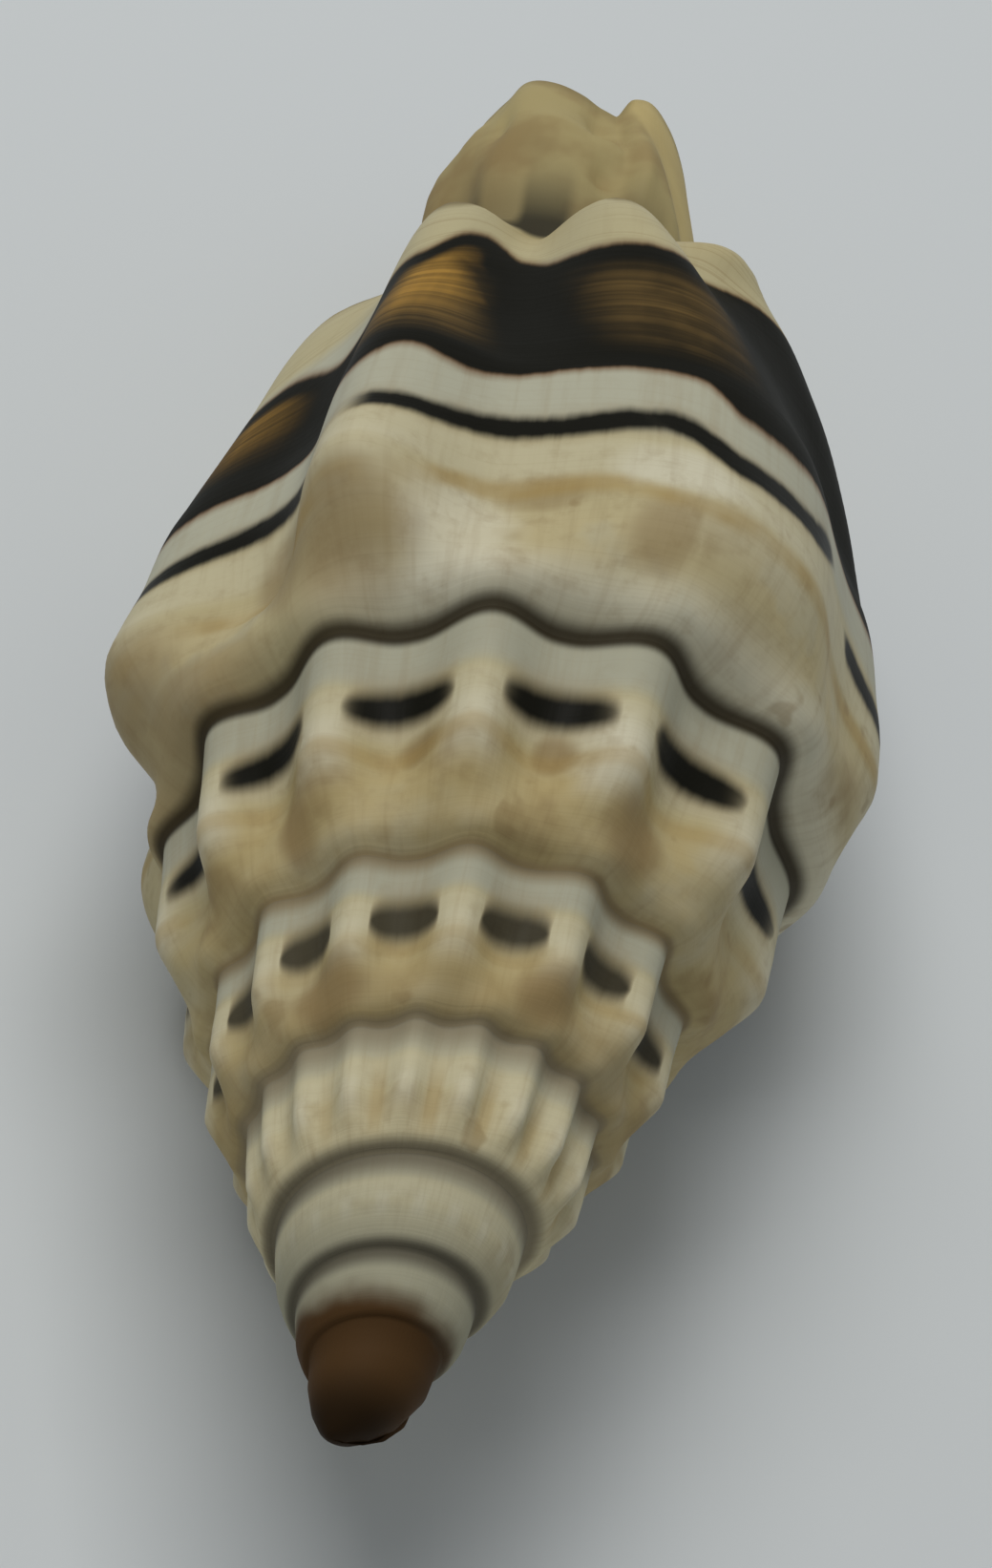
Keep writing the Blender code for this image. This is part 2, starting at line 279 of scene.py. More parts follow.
def rib_rise(turn, place):
    """How far a rib stands out, or its hollow falls in, at the size of its whorl."""
    height = flowing(turn, RIB_HEIGHT)
    height = height + (flowing(turn, FOLD_HEIGHT) - height) * ease(place, 0.44, 0.68)
    size = flowing(place, RIB_SHAPE) * height * WIDENING**turn
    return size * (rib_crest(turn, place) - 0.56)


def lumpy_rise(turn, place):
    """The lumps on the base and the canal, and the step down to the strap beside the notch."""
    strap = STRAP_TURN + STRAP_SLANT * (1 - place)
    rise = STRAP_STEP * (1 - ease(turn, strap - 0.022, strap + 0.022))
    rise = rise * ease(place, 0.86, 0.91) * (1 - ease(place, 0.94, 1.0)) * ease(turn, -0.6, -0.3)
    for at, down, width, depth, height in LUMPS:
        rise = rise + height * np.exp(-(((turn - at) / width) ** 2) - ((place - down) / depth) ** 2)
    return rise * ease(place, 0.0, 0.07)


def surface(turn, place, crests=1.0, hollows=1.0):
    """The outside of the shell, in a frame whose Z runs along the axis from the tip.

    crests and hollows are the shares of the ribs that stand out and fall in.
    """
    turn, place = np.broadcast_arrays(np.asarray(turn, float), np.asarray(place, float))
    scale = WIDENING**turn
    radius = flowing(place, OUTLINE)
    height = flowing(place, OUTLINE, 2)

    # The spire's whorls lean out to meet the next suture, the last one doesn't.
    lean = WIDENING * SUTURE_RADIUS - flowing(np.array(JOIN), OUTLINE)
    lean = lean * np.clip((place - 0.14) / (JOIN - 0.14), 0, 1) ** 1.6
    lean = lean * np.where(place > JOIN, 1 - ease(place, JOIN, 0.62), 1)
    radius = radius + lean * (1 - ease(turn, LIP_TURN - 1, -0.40))

    # The last whorl is a little flat beside the aperture, and again near the lip.
    side = ease(place, 0.10, 0.36)
    last = ease(turn, LIP_TURN - 1, -0.55)
    flat = 0.15 * last * (1 - ease(turn, -0.46, -0.34))
    flat = flat + 0.085 * ease(turn, -0.46, -0.34) * (1 - ease(turn, -0.34, -0.20))
    flat = flat + 0.045 * ease(turn, 0.02, 0.3)
    radius = radius * scale * (1 - flat * side)
    radius = radius * (1 - 0.024 * ease(turn, 0.08, 0.22) * ease(place, 0.34, 0.48))
    grown = turn + np.minimum(place / JOIN, 1)
    radius = radius * (1 + (YOUNG_WIDTH - 1) * (1 - ease(grown, -2.0, -1.0)))
    height_own = height * scale

    # The base runs on into the canal, which ends at one height all round.
    canal = ease(place, 0.56, 0.88)
    end = flowing(turn, CANAL_RADIUS)
    width = flowing(turn, ((-1.3, 0.2), (-0.63, 0.45), (-0.25, 0.8), (0.0, 1.0), (0.37, 0.95)))
    below = flowing(place, OUTLINE) - OUTLINE[-1][1]
    radius = (1 - canal) * radius + canal * (end + below * width)
    radius = radius + lumpy_rise(turn, place)
    height = (1 - canal) * height_own + canal * height
    height = height - flowing(turn, CANAL_END) * ease(place, 0.86, 1.0)

    near = 1 - ease(place, 0.0, 0.13)
    rise = rib_rise(turn, place) * (1 - near) + rib_rise(turn - 1, JOIN) * near
    radius = radius + crests * np.maximum(rise, 0) + hollows * np.minimum(rise, 0)

    angle = 2 * math.pi * turn
    back = CANAL_LIFT * ease(height, 36.5, 46.0)
    return np.stack(
        (radius * np.cos(angle) + back, radius * np.sin(angle), height), axis=-1
    )


def outward(turn, place):
    """The direction out of the surface, with the ribs left out."""
    along = surface(turn + 0.002, place, 0, 0) - surface(turn - 0.002, place, 0, 0)
    down = surface(turn, np.minimum(place + 0.004, 1), 0, 0)
    down = down - surface(turn, np.maximum(place - 0.004, 0), 0, 0)
    normal = np.cross(along, down)
    length = np.linalg.norm(normal, axis=-1, keepdims=True)
    return normal / np.maximum(length, 1e-9)


def floor_of_hollow(turn, place):
    """The whorl before, under its glaze, which the hollow winds round."""
    return surface(turn, place) + GLAZE * outward(turn, place)


def roof_of_hollow(turn, place):
    """The inside of the last whorl's wall, where the ribs show a little too."""
    depth = ease(LIP_TURN - turn, 0.0, 0.09)
    thickness = LIP_THICKNESS + (WALL_THICKNESS - LIP_THICKNESS) * depth
    thickness = thickness * (1 - 0.15 * ease(place, 0.7, 0.95))
    roof = surface(turn, place, 0.3) - thickness[..., None] * outward(turn, place)
    corner = floor_of_hollow(turn - 1, np.full_like(place, HOLLOW_CORNER))
    inside = ease(place, 0.0, 0.17)[..., None]
    return corner * (1 - inside) + roof * inside


def hollow(way, place):
    """The hollow's wall: in under the roof, round its blind end, and out on the floor."""
    way, place = np.broadcast_arrays(np.asarray(way, float), np.asarray(place, float))
    depth = 1 - np.abs(1 - 2 * way)
    turn = LIP_TURN - depth * HOLLOW_TURN
    roof = roof_of_hollow(turn, place)
    corner = floor_of_hollow(turn - 1, np.full_like(place, HOLLOW_CORNER))
    bottom = floor_of_hollow(turn - 1, np.maximum(place, JOIN))
    bend = ease(place, JOIN, JOIN + 0.12)[..., None]
    bottom = corner * (1 - bend) + bottom * bend
    for down, high in PLAITS:
        plait = high * np.exp(-(((place - down) / PLAIT_WIDTH) ** 2))
        bottom = bottom + plait[..., None] * outward(turn - 1, place)
    blind = np.clip((depth - 0.88) / 0.12, 0, 1)
    open_share = np.sqrt(np.maximum(1 - blind**2, 0))
    sign = np.where(way <= 0.5, 1.0, -1.0)
    middle = (roof + bottom) / 2
    half = (roof - bottom) / 2
    return middle + half * (open_share * sign)[..., None]


def place_of_row(row):
    """Rows are even from the suture to the join, and even again from there to the end."""
    spire = row / SPIRE_ROWS * JOIN
    base = JOIN + (row - SPIRE_ROWS) / BASE_ROWS * (1 - JOIN)
    return np.where(row <= SPIRE_ROWS, spire, base)


def band_drift(turn, place, crest):
    """On each rib the bands bend a little, more so near the base and where the ribs are high."""
    fold = np.clip(flowing(turn, FOLD_HEIGHT), 0.5, 1)
    crest = crest * fold + 0.45 * (1 - fold)
    upper = 0.020 * crest * ease(place, 0.10, 0.24) * (1 - ease(place, 0.42, 0.60))
    lower = 0.050 * (crest - 0.45) * ease(place, 0.42, 0.62) * (1 - ease(place, 0.70, 0.84))
    return upper + lower


def sheet(bm, columns, rows, turn_of, shape, inner):
    """Adds a grid moved to shape(column, row), with its growth in two UV maps."""
    made = bmesh.ops.create_grid(bm, x_segments=columns, y_segments=rows, size=0.5)
    corners = made["verts"]
    column = np.array([round((v.co.x + 0.5) * columns) for v in corners])
    row = np.array([round((v.co.y + 0.5) * rows) for v in corners])
    place = place_of_row(row)
    turn = turn_of(column)
    crest = rib_crest(turn, place)
    drift = band_drift(turn, place, crest) * (turn > LIP_TURN - 1.001)
    known = {}
    for k, (corner, point) in enumerate(zip(corners, shape(column, row))):
        corner.co = Vector(point)
        known[corner] = ((turn[k], place[k] + drift[k]), (crest[k], inner))
    for face in {face for corner in corners for face in corner.link_faces}:
        face.smooth = True
        for loop in face.loops:
            loop[growth].uv, loop[relief].uv = known[loop.vert]
    return {(c, r): v for c, r, v in zip(column, row, corners)}


def joined(bm, first, second):
    """Faces between two chains of corners that have the same number of corners."""
    for k in range(len(first) - 1):
        ring = []
        for corner in (first[k], first[k + 1], second[k + 1], second[k]):
            if corner not in ring:
                ring.append(corner)
        if len(ring) > 2:
            face = bm.faces.new(ring)
            face.smooth = True
            for loop in face.loops:
                near = next(other for other in loop.vert.link_loops if other.face != face)
                loop[growth].uv = near[growth].uv
                loop[relief].uv = near[relief].uv


bm = bmesh.new()
growth = bm.loops.layers.uv.new("growth")
relief = bm.loops.layers.uv.new("relief")
rows = SPIRE_ROWS + BASE_ROWS
tip_turn = LIP_TURN - 1 - SPIRE_TURNS

# Spire, last whorl and hollow.
sheet(
    bm,
    SPIRE_TURNS * STEPS_PER_TURN,
    SPIRE_ROWS,
    lambda column: tip_turn + column / STEPS_PER_TURN,
    lambda column, row: surface(tip_turn + column / STEPS_PER_TURN, place_of_row(row)),
    0,
)
last = sheet(
    bm,
    STEPS_PER_TURN,
    rows,
    lambda column: LIP_TURN - 1 + column / STEPS_PER_TURN,
    lambda column, row: surface(LIP_TURN - 1 + column / STEPS_PER_TURN, place_of_row(row)),
    0,
)
inside = sheet(
    bm,
    STEPS_PER_TURN,
    rows,
    lambda column: LIP_TURN - (1 - abs(1 - 2 * column / STEPS_PER_TURN)) * HOLLOW_TURN,
    lambda column, row: hollow(column / STEPS_PER_TURN, place_of_row(row)),
    1,
)

# The rim of the aperture: outer lip, end of the canal, inner lip.
outer_rim = [last[STEPS_PER_TURN, row] for row in range(rows + 1)]
outer_rim += [last[STEPS_PER_TURN - k, rows] for k in range(1, STEPS_PER_TURN + 1)]
outer_rim += [last[0, row] for row in range(rows - 1, SPIRE_ROWS - 1, -1)]
inner_rim = [inside[0, row] for row in range(rows + 1)]
inner_rim += [inside[k, rows] for k in range(1, STEPS_PER_TURN + 1)]
inner_rim += [inside[STEPS_PER_TURN, row] for row in range(rows - 1, SPIRE_ROWS - 1, -1)]
joined(bm, outer_rim, inner_rim)
bmesh.ops.remove_doubles(bm, verts=bm.verts[:], dist=1e-4)
bmesh.ops.dissolve_degenerate(bm, edges=bm.edges[:], dist=1e-5)

# The worn tip: the open end of the spire drawn in to a round point.
rim = [edge for edge in bm.edges if edge.is_boundary]
start = {corner: corner.co.copy() for edge in rim for corner in edge.verts}
for angle in TIP_RINGS:
    made = bmesh.ops.extrude_edge_only(bm, edges=rim)["geom"]
    rim = [part for part in made if isinstance(part, bmesh.types.BMEdge) and part.is_boundary]
    drawn = {}
    for corner in {corner for edge in rim for corner in edge.verts}:
        old = min(start, key=lambda known: (known.co - corner.co).length)
        drawn[corner] = start[old]
    for corner, first in drawn.items():
        across = math.cos(math.radians(angle)) ** TIP_ROUNDNESS
        up = 1 - math.sin(math.radians(angle))
        corner.co.x = first.x * across
        corner.co.y = first.y * across - TIP_LEAN * (1 - across)
        corner.co.z = TIP_HEIGHT + (first.z - TIP_HEIGHT) * up
    start = drawn
bmesh.ops.edgeloop_fill(bm, edges=rim)
crown = [face for face in bm.faces if len(face.verts) > 8]
for corner in bmesh.ops.poke(bm, faces=crown)["verts"]:
    corner.co = Vector((0, -TIP_LEAN, TIP_HEIGHT))
for face in bm.faces:
    face.smooth = True
    if face.calc_center_median().z < TIP_CAP and max(loop[growth].uv.x for loop in face.loops) >= 0:
        for loop in face.loops:
            loop[growth].uv = (tip_turn, 0.2)

# How far along the axis each point is, which the colour of the tip and the canal follow.
along = bm.verts.layers.float.new("along")
for corner in bm.verts:
    corner[along] = corner.co.z

# Lay the shell on its aperture, its axis along Y and its back up, and stand it in the box of
# the solid that it dresses.
lie = Matrix(((0, 1, 0), (0, 0, 1), (1, 0, 0))).to_4x4()
lie = Matrix.Rotation(math.radians(ROLL), 4, "Y") @ lie
lie = Matrix.Rotation(math.radians(PITCH), 4, "X") @ lie
bmesh.ops.transform(bm, matrix=Matrix.Scale(0.001, 4) @ lie, verts=bm.verts[:])
low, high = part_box("shell")
own_low = [min(v.co[k] for v in bm.verts) for k in range(3)]
own_high = [max(v.co[k] for v in bm.verts) for k in range(3)]
for corner in bm.verts:
    corner.co = Vector(
        low[k] + (corner.co[k] - own_low[k]) * (high[k] - low[k]) / (own_high[k] - own_low[k])
        for k in range(3)
    )
bmesh.ops.recalc_face_normals(bm, faces=bm.faces[:])
if bm.calc_volume(signed=True) < 0:
    bmesh.ops.reverse_faces(bm, faces=bm.faces[:])

shell_mesh = bpy.data.meshes.new("mitre_shell")
bm.to_mesh(shell_mesh)
bm.free()
shell = bpy.data.objects.new("mitre_shell", shell_mesh)
scene.collection.objects.link(shell)

# Banded lime: white and beige with nearly black spiral bands, worn dull near the tip.
WHITE = (0.445, 0.435, 0.330)
CREAM = (0.480, 0.420, 0.240)
BEIGE = (0.500, 0.420, 0.235)
TAN = (0.440, 0.345, 0.160)
BROWN_SMUDGE = (0.250, 0.168, 0.072)
ORANGE_LINE = (0.370, 0.250, 0.080)
IVORY = (0.600, 0.545, 0.360)
KNOB_WHITE = (0.670, 0.640, 0.500)
BLACK_BROWN = (0.0082, 0.0078, 0.0050)
RUST = (0.160, 0.070, 0.020)
OCHRE = (0.370, 0.205, 0.040)
DEEP_BROWN = (0.125, 0.078, 0.026)
SUTURE_BROWN = (0.034, 0.025, 0.012)
SEAM_OLIVE = (0.215, 0.160, 0.082)
SEAM_BROWN = (0.240, 0.200, 0.130)
SEAM_GREY = (0.068, 0.057, 0.040)
CANAL_TAN = (0.400, 0.328, 0.155)
STRAP_TAN = (0.500, 0.400, 0.180)
WORN_GREY = (0.300, 0.290, 0.210)
NECK_SHADE = (0.030, 0.028, 0.020)
TIP_BROWN = (0.070, 0.036, 0.013)
TIP_BLACK = (0.024, 0.013, 0.005)
PORCELAIN = (0.660, 0.600, 0.470)

# Blotches: turn, place, half widths in turns and in places. Most are blotches that the animal laid
# down; the brown ones at turns -0.205, -0.165, -0.100 and -0.088 are painted shade on the left side
# of the last whorl and of its highest rib.
BROWN_BLOTCHES_AND_SHADE = (
    (-0.205, 0.160, 0.045, 0.075),
    (-0.100, 0.215, 0.026, 0.060),
    (-0.088, 0.150, 0.022, 0.075),
    (-0.062, 0.110, 0.030, 0.080),
    (-0.165, 0.050, 0.050, 0.060),
    (0.072, 0.150, 0.014, 0.060),
    (0.020, 0.215, 0.022, 0.030),
    (-1.095, 0.110, 0.016, 0.070),
    (-1.022, 0.200, 0.014, 0.032),
    (-0.945, 0.205, 0.012, 0.035),
    (-0.885, 0.105, 0.024, 0.070),
    (-2.075, 0.100, 0.030, 0.080),
    (-1.900, 0.120, 0.026, 0.070),
)
PALE_BLOTCHES = (
    (-0.012, 0.120, 0.026, 0.110),
    (0.075, 0.250, 0.026, 0.040),
    (-0.920, 0.200, 0.018, 0.080),
)

# Where the markings change: by turn, and then by place on the whorl.
SPIRE_END = (-0.66, -0.60)               # the spire's look gives way to the last whorl's
DASH_END = (-0.80, -0.62)                # the dashes join into a line
LINE_GAP = (-0.096, -0.058)              # the line leaves this out beside the highest rib
RAMP_END = (0.250, 0.150)                # the beige of the ramp fades
BAND_START = 0.391
BAND_END = 0.652
CANAL_START = 0.755

# How the markings vary: a number at some turns, which flows from one to the next.
KNOB_STRENGTH = ((-1.70, 0.40), (-1.30, 0.58), (-0.66, 0.58), (-0.60, 0.25))
ORANGE_PLACE = ((-0.050, 0.174), (-0.010, 0.222), (0.035, 0.228), (0.085, 0.195), (0.200, 0.205))
ORANGE_STRENGTH = ((-2.30, 0.00), (-1.80, 0.38), (-0.66, 0.38), (-0.60, 0.66))
LINE_BEND = (
    (0.020, 0.000),
    (0.068, 0.016),
    (0.100, -0.010),
    (0.140, -0.006),
    (0.175, 0.016),
    (0.178, 0.016),
    (0.210, -0.030),
)
LINE_HALF_WIDTH = (
    (0.070, 0.0150),
    (0.095, 0.0195),
    (0.160, 0.0175),
    (0.186, 0.0000),                     # the line breaks off, and starts again
    (0.196, 0.0000),
    (0.212, 0.0160),
)
LINE_SOFTNESS = ((-2.00, 0.0320), (-1.00, 0.0210), (-0.62, 0.0095))
BAND_START_BEND = (
    (-0.065, 0.000),
    (-0.045, 0.016),
    (-0.022, -0.004),
    (0.038, 0.013),
    (0.078, 0.013),
    (0.100, -0.014),
)
BAND_END_BEND = (
    (-0.165, -0.025),
    (-0.125, -0.070),
    (-0.090, 0.000),
    (-0.062, 0.010),
    (-0.042, 0.034),
    (-0.038, 0.034),
    (-0.012, -0.002),
    (0.005, -0.014),
    (0.050, -0.004),
    (0.080, -0.004),
    (0.150, 0.041),
)

shell_look = bpy.data.materials.new("banded_shell")
shell_look.use_nodes = True
tree = shell_look.node_tree
gloss = tree.nodes["Principled BSDF"]


def grown(kind, *values, result=0, **settings):
    """One step of the shell's pattern, with numbers or earlier steps on its inputs."""
    made = tree.nodes.new(kind)
    for name, value in settings.items():
        setattr(made, name, value)
    for socket, value in zip(made.inputs, values):
        if isinstance(value, bpy.types.NodeSocket):
            tree.links.new(value, socket)
        elif value is not None:
            socket.default_value = value
    return made.outputs[result]


def sums(operation, *values):
    """One step of arithmetic."""
    return grown("ShaderNodeMath", *values, operation=operation)


def total(first, *others):
    """All the numbers added up."""
    for other in others:
        first = sums("ADD", first, other)
    return first


def product(first, *others):
    """All the numbers multiplied together."""
    for other in others:
        first = sums("MULTIPLY", first, other)
    return first


def less(first, second):
    """The first number less the second."""
    return sums("SUBTRACT", first, second)


def rises(value, low, high, start=0.0, end=1.0):
    """start below low, end above high, smooth between."""
    return grown(
        "ShaderNodeMapRange", value, low, high, start, end, interpolation_type="SMOOTHSTEP"
    )


def between(value, low, high, soft):
    """1 between two limits, with soft edges."""
    return product(
        rises(value, low - soft, low + soft), rises(value, high - soft, high + soft, 1.0, 0.0)
    )


def follows(value, table):
    """A number that runs smoothly from stop to stop of a table."""
    found = table[0][1]
    for (low, start), (high, end) in zip(table, table[1:]):
        found = total(found, rises(value, low, high, 0.0, end - start))
    return found


def painted(amount, under, over):
    """One colour over another."""
    made = tree.nodes.new("ShaderNodeMix")
    made.data_type = "RGBA"
    for name, value in (("Factor_Float", amount), ("A_Color", under), ("B_Color", over)):
        socket = next(s for s in made.inputs if s.identifier == name)
        if isinstance(value, bpy.types.NodeSocket):
            tree.links.new(value, socket)
        elif isinstance(value, tuple):
            socket.default_value = (*value, 1)
        else:
            socket.default_value = value
    return next(s for s in made.outputs if s.identifier == "Result_Color")


def grain(vector, scale, detail=3.0, rough=0.55):
    """Noise at a scale, 0.5 on average."""
    return grown("ShaderNodeTexNoise", vector, None, scale, detail, rough)


def stretched(across, down):
    """Noise space drawn out along the growth: cells per turn, and cells per whorl."""
    return grown("ShaderNodeCombineXYZ", product(turn, across), product(place, down), 0.0)


def chart(name):
    """The two numbers of one of the shell's UV maps."""
    made = tree.nodes.new("ShaderNodeUVMap")
    made.uv_map = name
    apart = tree.nodes.new("ShaderNodeSeparateXYZ")
    tree.links.new(made.outputs[0], apart.inputs[0])
    return apart.outputs[0], apart.outputs[1]


def blotches(table):
    """1 in the middle of any of the blotches, 0 outside them."""
    found = 0.0
    for at, down, width, depth in table:
        along_turn = sums("POWER", sums("DIVIDE", less(turn, at), width), 2.0)
        along_place = sums("POWER", sums("DIVIDE", less(place, down), depth), 2.0)
        away = total(along_turn, along_place, product(torn, 2.2))
        found = sums("MAXIMUM", found, rises(away, 1.7, 0.1))
    return found


# What the pattern follows: turn and place, ribs and inside, the way along the axis, and the
# body in millimetres.
turn, place = chart("growth")
crest, inner = chart("relief")
made = tree.nodes.new("ShaderNodeAttribute")
made.attribute_name = "along"
axis = made.outputs["Fac"]
made = tree.nodes.new("ShaderNodeTexCoord")
body = grown("ShaderNodeMapping", made.outputs["Object"], None, None, (1000, 1000, 1000))

# Grain along the growth, and in the body.
growth_lines = grain(stretched(150, 4), 1.0, 4.0)
fine_lines = grain(stretched(420, 7), 1.0, 2.0)
threads = grain(stretched(5, 105), 1.0, 2.0)
clouds = grain(body, 0.32, 3.0)
patches = grain(body, 0.42, 3.0)
blots = grain(body, 0.9, 2.0, 0.5)
torn = less(patches, 0.5)

# The place that the markings follow wanders a little as the shell grows.
wander = product(less(grain(stretched(9, 2), 1.0, 3.0), 0.5), 0.014)
edge = total(place, wander, product(less(growth_lines, 0.5), 0.007))
spire = rises(turn, *SPIRE_END, 1.0, 0.0)
dashed = rises(turn, *DASH_END, 1.0, 0.0)

# How far it is round from the hollow between two ribs, 0 there and a half on the crest.
phase = sums("ARCCOSINE", less(1.0, product(sums("POWER", crest, 0.8), 2.0)))
phase = product(phase, 1 / (2 * math.pi))

# Ground colour: beige ramp, creamy towards the thin line, white above it, cream on the base.
ramp = rises(edge, *RAMP_END)
ground = painted(rises(edge, 0.330, 0.290), WHITE, CREAM)
ground = painted(between(edge, 0.225, 0.300, 0.015), ground, painted(0.72, KNOB_WHITE, CREAM))
ground = painted(product(ramp, 0.85), ground, BEIGE)
ground = painted(product(rises(clouds, 0.40, 0.64), ramp, 0.5), ground, CREAM)
spire_margin = product(
    rises(place, 0.120, 0.040),
    rises(clouds, 0.35, 0.60, 0.55, 0.95),
    rises(turn, *SPIRE_END, 0.45, 0.0),
    rises(turn, -1.6, -1.3, 0.3, 1.0),
)
last_margin = product(rises(turn, -0.10, -0.03), rises(place, 0.120, 0.040, 0.0, 0.72))
ground = painted(total(spire_margin, last_margin), ground, KNOB_WHITE)
ground = painted(product(rises(patches, 0.46, 0.34), ramp, 0.30), ground, WHITE)
ground = painted(product(blotches(PALE_BLOTCHES), 0.62), ground, KNOB_WHITE)
ground = painted(rises(edge, 0.62, 0.66, 0.0, 0.9), ground, CREAM)
# Tan in the hollows between the ribs on the base: partly their fine lines, partly painted shade in
# the hollows.
furrow_shade = product(rises(edge, 0.66, 0.80), rises(crest, 0.55, 0.0), 0.45)
ground = painted(furrow_shade, ground, TAN)

# The spire is tan on its ramps, with a white knob on every rib and ivory whorls near the tip.
tan = product(
    spire,
    rises(edge, 0.26, 0.14, 0.0, 0.90),
    rises(patches, 0.35, 0.60, 0.45, 1.0),
    rises(turn, -2.7, -2.2, 0.15, 1.0),
)
ground = painted(tan, ground, TAN)
ground = painted(rises(turn, -2.3, -2.6, 0.0, 0.55), ground, IVORY)
darker = product(between(turn, -2.35, -1.60, 0.10), rises(edge, 0.19, 0.10, 0.0, 0.30))
ground = painted(darker, ground, BROWN_SMUDGE)
ground = painted(product(spire, rises(edge, 0.29, 0.34), 0.30), ground, WORN_GREY)
knob = product(
    rises(phase, 0.22, 0.44), between(edge, 0.15, 0.245, 0.035), follows(turn, KNOB_STRENGTH)
)
ground = painted(knob, ground, KNOB_WHITE)
flute = product(
    between(turn, -3.1, -2.25, 0.12), rises(phase, 0.22, 0.06), between(edge, 0.08, 0.28, 0.07)
)
ground = painted(product(flute, 0.45), ground, ORANGE_LINE)

# Smudges and blotches on the ramp, painted shade on its left side, and a faint orange line that
# ends it.
smudge_and_shade = product(
    rises(patches, 0.52, 0.72),
    between(edge, 0.04, 0.19, 0.045),
    rises(turn, -0.66, -0.55, 0.75, 0.40),
    rises(axis, 7.0, 11.0, 0.3, 1.0),
)
spots_and_shade = product(blotches(BROWN_BLOTCHES_AND_SHADE), rises(turn, *SPIRE_END, 0.72, 0.54))
# Painted shade on the left side of the last whorl's ramp.
left_flank_shade = product(between(turn, -0.26, -0.185, 0.02), rises(edge, 0.28, 0.18, 0.0, 0.45))
smudge_and_shade = sums("MAXIMUM", sums("MAXIMUM", smudge_and_shade, spots_and_shade), left_flank_shade)
ground = painted(smudge_and_shade, ground, BROWN_SMUDGE)
orange_place = total(follows(turn, ORANGE_PLACE), rises(turn, *SPIRE_END, 0.018, 0.0))
orange = product(
    rises(sums("ABSOLUTE", less(edge, orange_place)), 0.026, 0.004),
    rises(clouds, 0.34, 0.56, 0.15, 1.0),
    follows(turn, ORANGE_STRENGTH),
)
ground = painted(orange, ground, ORANGE_LINE)

# Dirt in the pores, specks, growth lines and spiral cords.
soiled = product(
    rises(grain(body, 1.6, 4.0, 0.6), 0.48, 0.74), rises(edge, 0.40, 0.20, 0.05, 0.24)
)
ground = painted(soiled, ground, BROWN_SMUDGE)
speck = product(rises(blots, 0.66, 0.74), rises(edge, 0.30, 0.24, 0.0, 0.40))
ground = painted(speck, ground, BROWN_SMUDGE)
lines = product(rises(growth_lines, 0.46, 0.70), rises(edge, 0.62, 0.20, 0.08, 0.17))
ground = painted(lines, ground, BROWN_SMUDGE)
ground = painted(rises(fine_lines, 0.5, 0.8, 0.0, 0.06), ground, BEIGE)
cords = grain(stretched(3, 240), 1.0, 1.0)
cords = product(rises(cords, 0.54, 0.66), rises(edge, 0.60, 0.70, 0.05, 0.30))
ground = painted(cords, ground, BROWN_SMUDGE)

# The thin dark line, which breaks into dashes between the ribs of the spire.
line_place = total(
    rises(turn, -2.3, -0.95, 0.262, 0.283),
    rises(turn, -0.9, -0.3, 0.0, 0.030),
    product(crest, dashed, -0.014),
    follows(turn, LINE_BEND),
)
away = sums("ABSOLUTE", less(edge, line_place))
reach = total(rises(turn, -2.2, -1.2, 0.31, 0.375), product(torn, 0.16))
taper = less(1.0, sums("POWER", sums("DIVIDE", phase, reach), 4.6))
dash = product(sums("SQRT", sums("MAXIMUM", taper, 0.0)), rises(turn, -2.2, -1.2, 0.043, 0.027))
solid = total(follows(turn, LINE_HALF_WIDTH), product(less(blots, 0.5), 0.008))
half_width = total(product(dash, dashed), product(solid, less(1.0, dashed)))
past = sums("DIVIDE", less(away, half_width), follows(turn, LINE_SOFTNESS))
begun = rises(turn, -2.45, -2.35)
line = product(
    rises(past, 0.8, -0.8),
    rises(half_width, 0.001, rises(turn, *DASH_END, 0.026, 0.014)),
    begun,
    less(1.0, between(turn, *LINE_GAP, 0.007)),
    rises(turn, -2.2, -1.2, 0.86, 1.0),
)
halo = product(rises(past, 1.9, -0.2), rises(half_width, 0.001, 0.022), begun, 0.35)
ground = painted(halo, ground, BROWN_SMUDGE)
ground = painted(line, ground, BLACK_BROWN)

# The wide dark band: nearly black with rusty edges, ochre and brown along its middle where
# some of the ribs rise.
low_edge = less(edge, follows(turn, BAND_START_BEND))
high_edge = less(edge, follows(turn, BAND_END_BEND))
band = product(
    rises(low_edge, BAND_START - 0.005, BAND_START + 0.005),
    rises(high_edge, BAND_END - 0.007, BAND_END + 0.007, 1.0, 0.0),
)
fringe = product(
    rises(low_edge, BAND_START - 0.017, BAND_START + 0.003),
    rises(high_edge, BAND_END - 0.007, BAND_END + 0.018, 1.0, 0.0),
)
middle = product(
    rises(low_edge, 0.455, 0.570, 0.0, 1.25), rises(high_edge, 0.605, 0.632, 1.0, 0.0)
)
streaks = rises(threads, 0.35, 0.65, 0.50, 1.0)
warm = product(middle, streaks, rises(growth_lines, 0.3, 0.7, 0.80, 1.0))
on_rib = between(total(turn, product(torn, 0.03)), -0.067, -0.038, 0.011)
on_left_rib = product(between(turn, -0.190, -0.150, 0.020), 0.50)
brown = product(
    between(edge, 0.465, 0.590, 0.035),
    rises(crest, 0.06, 0.65),
    streaks,
    rises(patches, 0.30, 0.55, 0.45, 1.0),
    between(turn, -0.08, 0.100, 0.020),
)
dark = painted(brown, BLACK_BROWN, DEEP_BROWN)
dark = painted(product(warm, sums("MAXIMUM", on_rib, on_left_rib)), dark, OCHRE)
ground = painted(product(fringe, 0.85), ground, RUST)
ground = painted(band, ground, dark)
